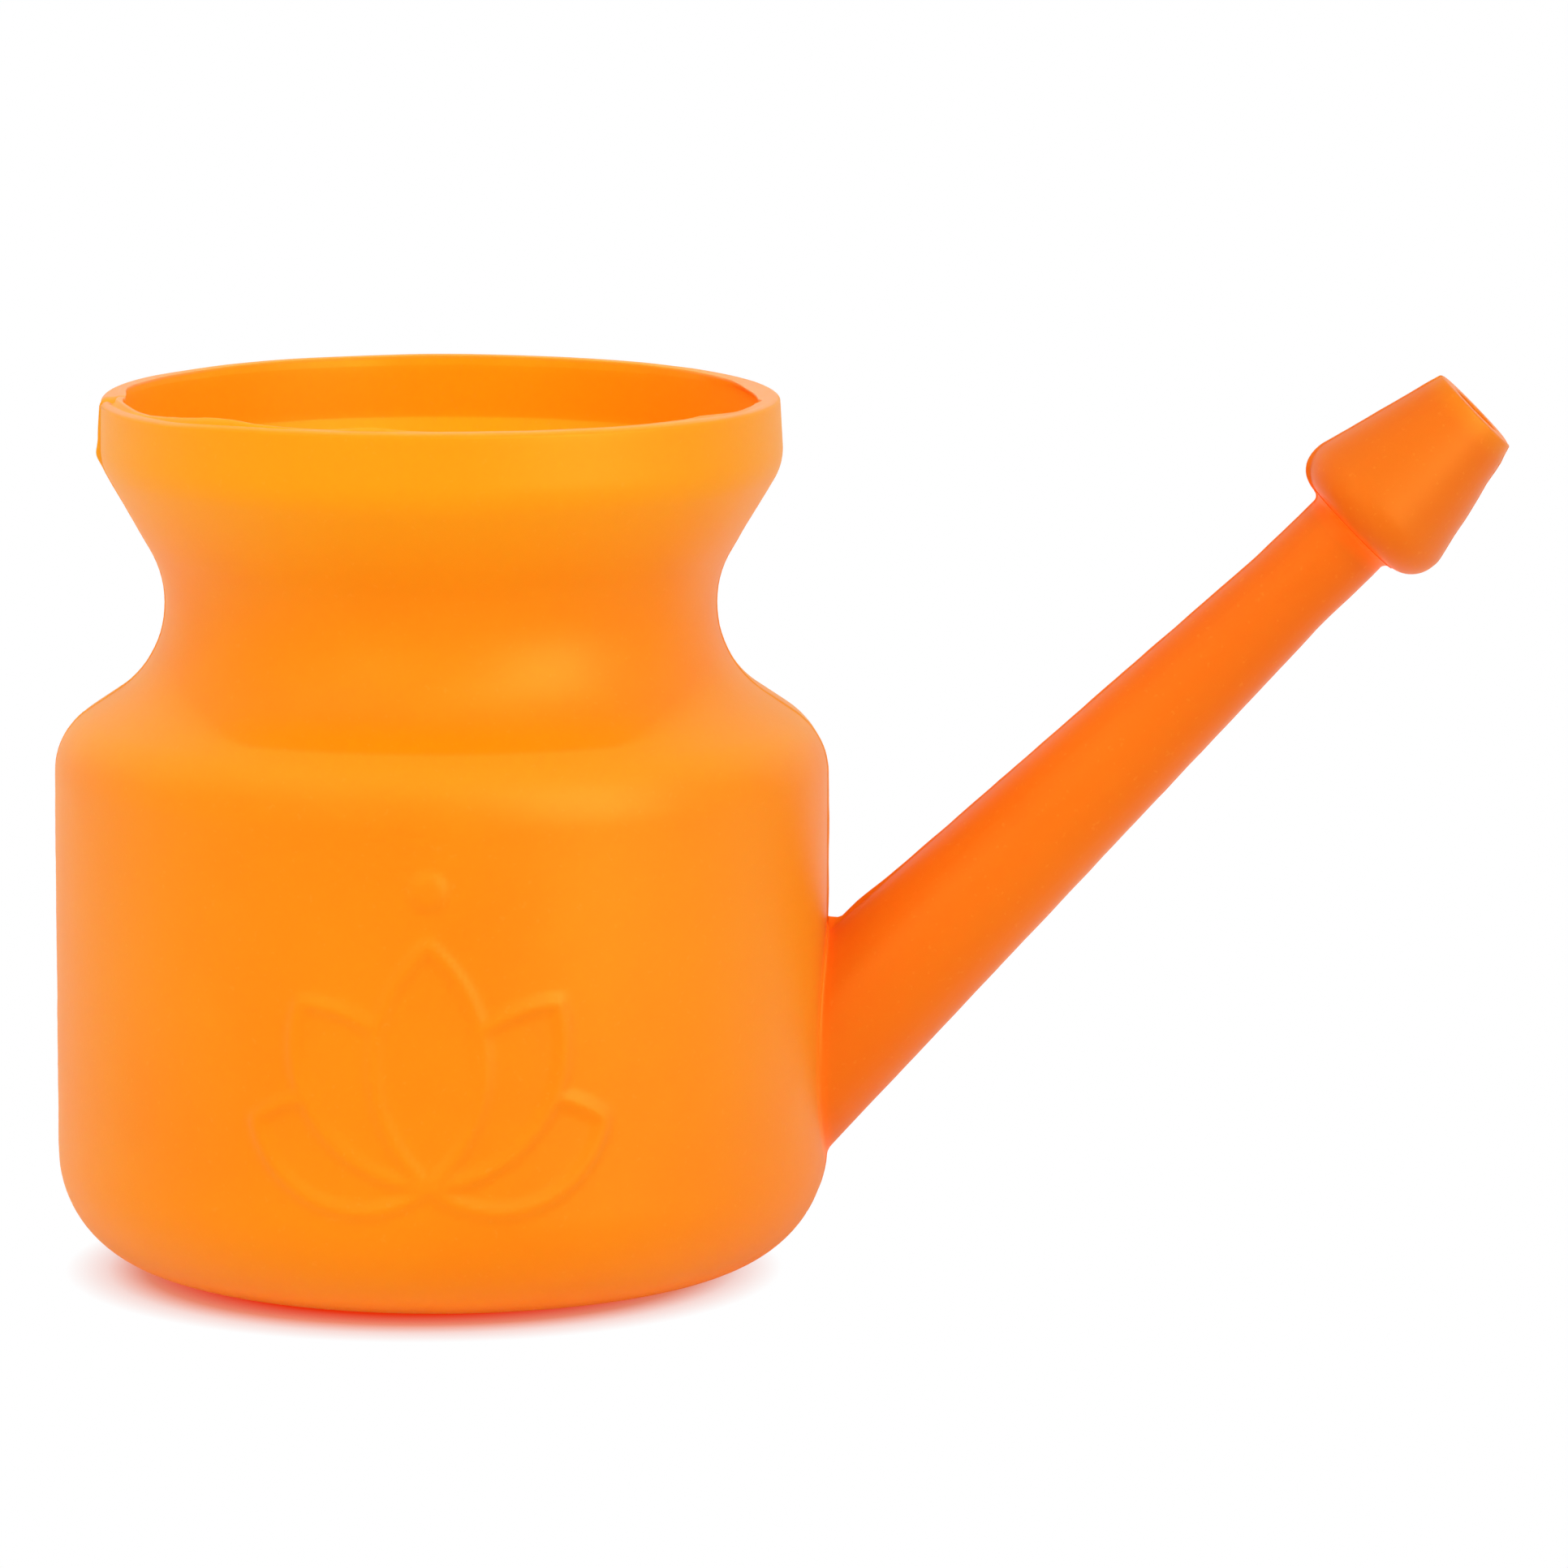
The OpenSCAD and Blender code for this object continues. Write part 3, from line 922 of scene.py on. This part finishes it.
def plasticMaterial():
    size = plasticSizes
    material, start = newMaterial("softPlastic")
    material.cycles.emission_sampling = "NONE"
    where = start.node("ShaderNodeTexCoord", out="Object")
    x, _, z = where.parts()

    def stored(name):  # a share that the mesh carries
        return start.node("ShaderNodeAttribute", {"attribute_name": name}, out="Fac")

    def past(value, name):  # 0 before this place and 1 beyond it
        low, high = plasticPlaces[name]
        return value.ease(low * mm, high * mm)

    # the belly and the collar, with painted light: paler on the shoulder and towards the rim, and a band at
    # the neck's foot that the shoulder lights from below
    mottle = where.noise(size["mottleScale"], 3.0)
    fine = where.noise(size["speckScale"], 1.0)
    body = mottle.ease(0.35, 0.75).blend(size["body"], size["deep"])
    aside = past(abs(x), "aside")
    hollow = past(z, "hollow") * (1 - past(z, "neck")) * (1 - aside)
    body = hollow.blend(past(z, "collar").blend(body, size["collar"]), size["hollow"])
    low, high = plasticPlaces["hollow"]
    ledge = past(z, "shoulder") * (1 - z.ease(low * mm, high * mm + aside * 9 * mm))
    body = ledge.blend(body, size["shoulder"])

    # the inside with its painted light, and the light that comes through the wall
    outside = stored("skin").ease(0.0, 0.5)
    inside = past(x, "insideRight").blend(size["inside"], size["insideRight"])
    body = outside.blend(past(z, "inside").blend(size["insideLow"], inside), body)
    glow = outside.blend(size["throughLight"], (0, 0, 0, 1))
    glow = past(z, "foot").blend(size["footLight"], glow)
    glow = stored("crease").blend(glow, size["creaseLight"])

    # painted shade: redder on the spout and beside it, where less light reaches it and the thicker wall lets
    # less through; darker along the tube
    spout = mottle.ease(0.3, 0.8).blend(size["spout"], size["spoutDeep"])
    for part in ("tube", "nozzle", "tip"):
        spout = past(alongSpout(x, z), part).blend(spout, size[part])
    colour = stored("spout").blend(body, spout)

    # the paler cut face, partly a painted sheen
    cut = stored("cut")
    scratches = where.vectors("MULTIPLY", (1, 0.25, 1)).noise(900.0, 3.0, 0.6)
    cutColour = past(abs(x), "cutPale").blend(size["cut"], size["cutPale"])
    colour = (cut * (0.72 + 0.5 * scratches)).sums("MINIMUM", 1.0).blend(colour, cutColour)
    colour = (fine.ease(0.66, 0.78) * 0.10).blend(colour, size["speck"])

    # faint scuffs on the front of the belly, below the shoulder
    away = where.vectors("DISTANCE", size["scuff"], out="Value")
    streaks = where.vectors("MULTIPLY", (1.0, 1.0, 5.0)).noise(420.0, 2.0, 0.6)
    scuff = away.bell(size["scuffReach"]) * streaks.ease(0.52, 0.7)

    roughness = size["roughness"] + 0.10 * (mottle - 0.5) + 0.05 * (fine - 0.5) + 0.10 * cut + 0.06 * scuff
    grain = where.noise(size["grainScale"], 2.0, 0.6)
    height = grain * 0.5 + fine * 0.3 + scratches * cut * 1.2 - scuff * 0.7
    bump = where.node("ShaderNodeBump", None,
                      {"Strength": 0.16, "Distance": 0.12 * mm, "Height": height}, "Normal")
    shader = where.node("ShaderNodeBsdfPrincipled", None, {
        "Base Color": colour, "Roughness": roughness, "Normal": bump,
        "IOR": 1.38, "Specular IOR Level": 0.5, "Specular Tint": (1.0, 0.6, 0.1, 1),
        "Subsurface Weight": 0.35, "Subsurface Radius": (1.0, 0.35, 0.12), "Subsurface Scale": 2.2 * mm,
        "Emission Color": glow, "Emission Strength": 1.0,
        "Sheen Weight": 0.02, "Sheen Roughness": 0.45, "Sheen Tint": (1.0, 0.85, 0.8, 1)}, "BSDF")
    where.node("ShaderNodeOutputMaterial", None, {"Surface": shader})
    return material


# How much a vertex belongs to the moulded outside: 1 there, fading over the cut edges, 0 inside
def outsideShare(flat, path, fade):
    edge = path["runs"][int(np.argmax(path["line"][:, 1]))]
    return np.clip((edge - flat[:, 1]) / fade, 0, 1)


# The joint of the spout with the belly, in millimetres
jointSizes = {
    "box": ((30, -16, 8), (62, 16, 52)),  # its surroundings, and how near the tube's skin they are
    "nearTube": 9.0,
    "nearPassage": 7.0,
    "soft": 0.5,                # how far the joint is smoothed, outside and inside
    "softInside": 1.2,
    "cutFade": (1.1, 0.5),      # of the outside's share, over the cut edges of the rim and of the outlet
    "tintReach": 2.6,           # of the spout's colour, with its painted shade, on the belly
    "tintShare": 0.62,
    "nozzleCrease": (0.6, 1.1),  # how far out of the tube it lies, and its reach
    "footCrease": (0.45, 0.8),  # its strength and its reach
}


# The pot: one mesh from the two wrapped sheets, its joint softened, then the marks of its making
pathOfPot, potTop = potPath()
pathOfSpout = spoutPath()
plastic = plasticMaterial()
columns = potColumns()
potFlat, potFaces, potEnds, spoutTurns = potSheet(pathOfPot, columns)
outerTargets, outerAlong = potEnds["outer"]
innerTargets, innerAlong = potEnds["inner"]
spoutFlat, spoutFaces, outerRing, innerRing = spoutSheet(pathOfSpout, spoutTurns, outerAlong, innerAlong)
turnTree = turnOnAxisTree(plastic)
potPoints = wrapSheet("potSheet", potFlat, potFaces, pathOfPot, turnTree, np.zeros(3), 0.0)
spoutPoints = wrapSheet("spoutSheet", spoutFlat, spoutFaces, pathOfSpout, turnTree,
                        spoutSeat, math.pi / 2 - spoutSizes["rise"])
print("sheets wrapped:", len(potPoints), "and", len(spoutPoints), "points")

joined = dict(zip(outerRing + innerRing, outerTargets + innerTargets))
gaps = [np.linalg.norm(potPoints[target] - spoutPoints[own]) for own, target in joined.items()]
print("largest gap at the joint, mm:", round(float(max(gaps)), 4))
numbers, extra = {}, []
for index in range(len(spoutPoints)):
    if index in joined:
        numbers[index] = joined[index]
    else:
        numbers[index] = len(potPoints) + len(extra)
        extra.append(index)
points = np.concatenate([potPoints, spoutPoints[extra]])
faces = potFaces + [[numbers[index] for index in face] for face in spoutFaces]
rimFade, outletFade = jointSizes["cutFade"]
skin = np.concatenate([outsideShare(potFlat, pathOfPot, rimFade),
                       outsideShare(spoutFlat, pathOfSpout, outletFade)[extra]])
beyond = np.arange(len(points)) >= len(potPoints)

wall = potSizes["wall"]
boxLow, boxHigh = jointSizes["box"]
nearJoint = ((points > boxLow) & (points < boxHigh)).all(axis=1)
outerZone = nearJoint & (skin > 0.5) & (np.abs(tubeGap(points, 0)) < jointSizes["nearTube"])
innerZone = nearJoint & (skin < 0.5) & (np.abs(tubeGap(points, wall)) < jointSizes["nearPassage"])
points[outerZone] = softenJoint(points[outerZone], 0, jointSizes["soft"])
points[innerZone] = softenJoint(points[innerZone], wall, jointSizes["softInside"])

# How much a vertex has of the spout's colour and its painted shade: part of it on the belly, fading away from
# the joint
tint = jointSizes["tintShare"]
outOfTube = tubeGap(points, 0)
fade = np.exp(-np.clip(outOfTube, 0, None) / jointSizes["tintReach"]) * (points[:, 0] > 0) * (skin > 0)
spoutShare = np.where(beyond, 1.0, tint * fade + (1 - tint) * ease(-outOfTube, -0.35, 0.05) * (fade > 0))

# How deep a vertex lies in the crease behind the nozzle, or in the one round the spout's foot
local = (points - spoutSeat) @ spoutFrame.T
outwards, reach = jointSizes["nozzleCrease"]
fromNozzle = np.hypot(np.hypot(local[:, 0], local[:, 1]) - spoutSizes["tubeRadius"] - outwards,
                      local[:, 2] - spoutSizes["taper"] - spoutSizes["tube"])
crease = np.exp(-(fromNozzle / reach) ** 2)
strength, reach = jointSizes["footCrease"]
fromFoot = np.hypot(wallGap(points, 0), outOfTube)
crease = np.maximum(crease, strength * np.exp(-(fromFoot / reach) ** 2)) * (skin > 0.5) * (points[:, 0] > 30)

mesh = bpy.data.meshes.new("netiPot")
mesh.from_pydata((points * mm).tolist(), [], faces)
for name, share in (("skin", skin), ("spout", spoutShare), ("crease", crease)):
    mesh.attributes.new(name, "FLOAT", "POINT").data.foreach_set("value", share.astype(np.float32))
mesh.materials.append(plastic)
mesh.polygons.foreach_set("use_smooth", np.ones(len(mesh.polygons), bool))
pot = newObject("netiPot", mesh)
lines = flowerCurve()
addTree(pot, raisedLinesTree(plastic), {"Lines": lines, **raisedSizes})
addTree(pot, cutRimTree(plastic, potTop), cutSizes)
addTree(pot, mouldMarksTree(plastic), mouldSizes)
makePlain(pot)
bpy.data.objects.remove(lines)
triangles = sum(len(polygon.vertices) - 2 for polygon in pot.data.polygons)
print("pot made:", triangles, "triangles,", len(pot.data.vertices), "points")

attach(pot, "root")
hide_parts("pot")


# Floor, light and camera
stageSizes = {
    "floor": 8.0,
    "floorColour": (0.96, 0.96, 0.96, 1),
    "glow": [                   # painted shadow on the floor, red from the light through the plastic, from the pot's foot outwards
        (0.0, (0.96, 0.05, 0.006, 1)),
        (0.34, (0.84, 0.29, 0.19, 1)),
        (0.62, (0.93, 0.73, 0.7, 1)),
        (0.92, (1, 1, 1, 1)),
    ],
    "glowMiddle": (-0.002, -0.007),
    "glowRadius": 0.027,
    "glowReach": 0.016,
    "glowTint": 0.97,           # how much of it tints the floor, and how much of it the floor sheds itself
    "glowShine": 0.62,
    "skyLight": 0.86,
    "lampAim": (0.01, 0, 0.06),
    "lamps": {  # power in watts, width, height, place, and whether it lights the colours too
        "key": (5.5, 0.6, 0.6, (0.5, -1.0, 1.3), True),
        "side": (4.2, 0.7, 0.5, (-0.75, -0.75, 1.25), True),
        "panel": (36.0, 0.85, 1.15, (0.94, -0.84, 0.58), False),
        "streak": (3.0, 0.5, 0.4, (-0.52, -0.98, 0.44), False),
    },
}


def floorMaterial():
    size = stageSizes
    material, start = newMaterial("paleFloor")
    seen = start.node("ShaderNodeLightPath", out="Is Camera Ray")
    x, y, _ = start.node("ShaderNodeTexCoord", out="Object").parts()

    # painted shadow round the foot, most of it in front, coloured red by the light that comes through the
    # plastic
    middleX, middleY = size["glowMiddle"]
    away = (hypotenuse(x - middleX, y - middleY) - size["glowRadius"]) / size["glowReach"]
    glow = away.node("ShaderNodeValToRGB", {"stops": size["glow"]}, {0: away})
    tint = (seen * size["glowTint"]).blend(size["floorColour"], glow)
    matte = start.node("ShaderNodeBsdfDiffuse", None, {"Color": tint})
    whiteAndShadow = start.node("ShaderNodeEmission", None, {"Color": glow, "Strength": 1.0})
    shine = size["glowShine"] + (1 - size["glowShine"]) * away.ease(0.0, 1.0)
    mixed = start.node("ShaderNodeMixShader", None, {0: seen * shine, 1: matte, 2: whiteAndShadow})
    start.node("ShaderNodeOutputMaterial", None, {"Surface": mixed})
    return material


def buildStage():
    half = stageSizes["floor"] / 2
    mesh = bpy.data.meshes.new("floor")
    corners = [(-half, -half, 0), (half, -half, 0), (half, half, 0), (-half, half, 0)]
    mesh.from_pydata(corners, [], [(0, 1, 2, 3)])
    mesh.materials.append(floorMaterial())
    floor = newObject("floor", mesh)

    world = bpy.data.worlds.new("softRoom")
    scene.world = world
    world.use_nodes = True
    world.node_tree.nodes.clear()
    start = Wire(world.node_tree)
    camera, glossy, through = (start.node("ShaderNodeLightPath", out=f"Is {kind} Ray")
                               for kind in ("Camera", "Glossy", "Transmission"))
    seen = camera.sums("MAXIMUM", glossy).sums("MAXIMUM", through)
    strength = stageSizes["skyLight"] + seen * (1.0 - stageSizes["skyLight"])

    # the studio is dark straight above and behind, which shows only in reflections
    _, back, high = start.node("ShaderNodeTexCoord", out="Generated").parts()
    strength = strength * (1 - 0.75 * glossy * back.ease(-0.3, 0.05) * high.ease(0.5, 0.8))
    sky = start.node("ShaderNodeBackground", None, {"Color": (1, 1, 1, 1), "Strength": strength})
    start.node("ShaderNodeOutputWorld", None, {"Surface": sky})

    for name, (power, width, height, place, diffuse) in stageSizes["lamps"].items():
        light = bpy.data.lights.new(name, "AREA")
        light.shape = "RECTANGLE"
        light.energy, light.size, light.size_y = power, width, height
        lamp = newObject(name, light)
        lamp.location = place
        aim = Vector(stageSizes["lampAim"]) - Vector(place)
        lamp.rotation_euler = aim.to_track_quat("-Z", "Y").to_euler()
        lamp.visible_diffuse = diffuse


cameraSizes = {
    "place": (0.0399, -1.1, 0.23069),
    "aim": (0.0399, 0.0, 0.05599),
    "lens": 219.3,
    "roll": 0.002457,
}


def placeCamera():
    data = bpy.data.cameras.new("camera")
    data.lens = cameraSizes["lens"]
    data.sensor_width = 36.0
    data.clip_start = 0.05
    data.clip_end = 30.0
    camera = newObject("camera", data)
    place, aim = Vector(cameraSizes["place"]), Vector(cameraSizes["aim"])
    ahead = (aim - place).normalized()
    side = ahead.cross(Vector((0, 0, 1))).normalized()
    up = side.cross(ahead)
    cos, sin = math.cos(cameraSizes["roll"]), math.sin(cameraSizes["roll"])
    side, up = side * cos + up * sin, up * cos - side * sin
    turned = Matrix((side, up, -ahead)).transposed().to_4x4()
    camera.matrix_world = Matrix.Translation(place) @ turned
    scene.camera = camera


buildStage()
placeCamera()
scene.view_settings.view_transform = "Standard"
print("stage, light and camera placed")
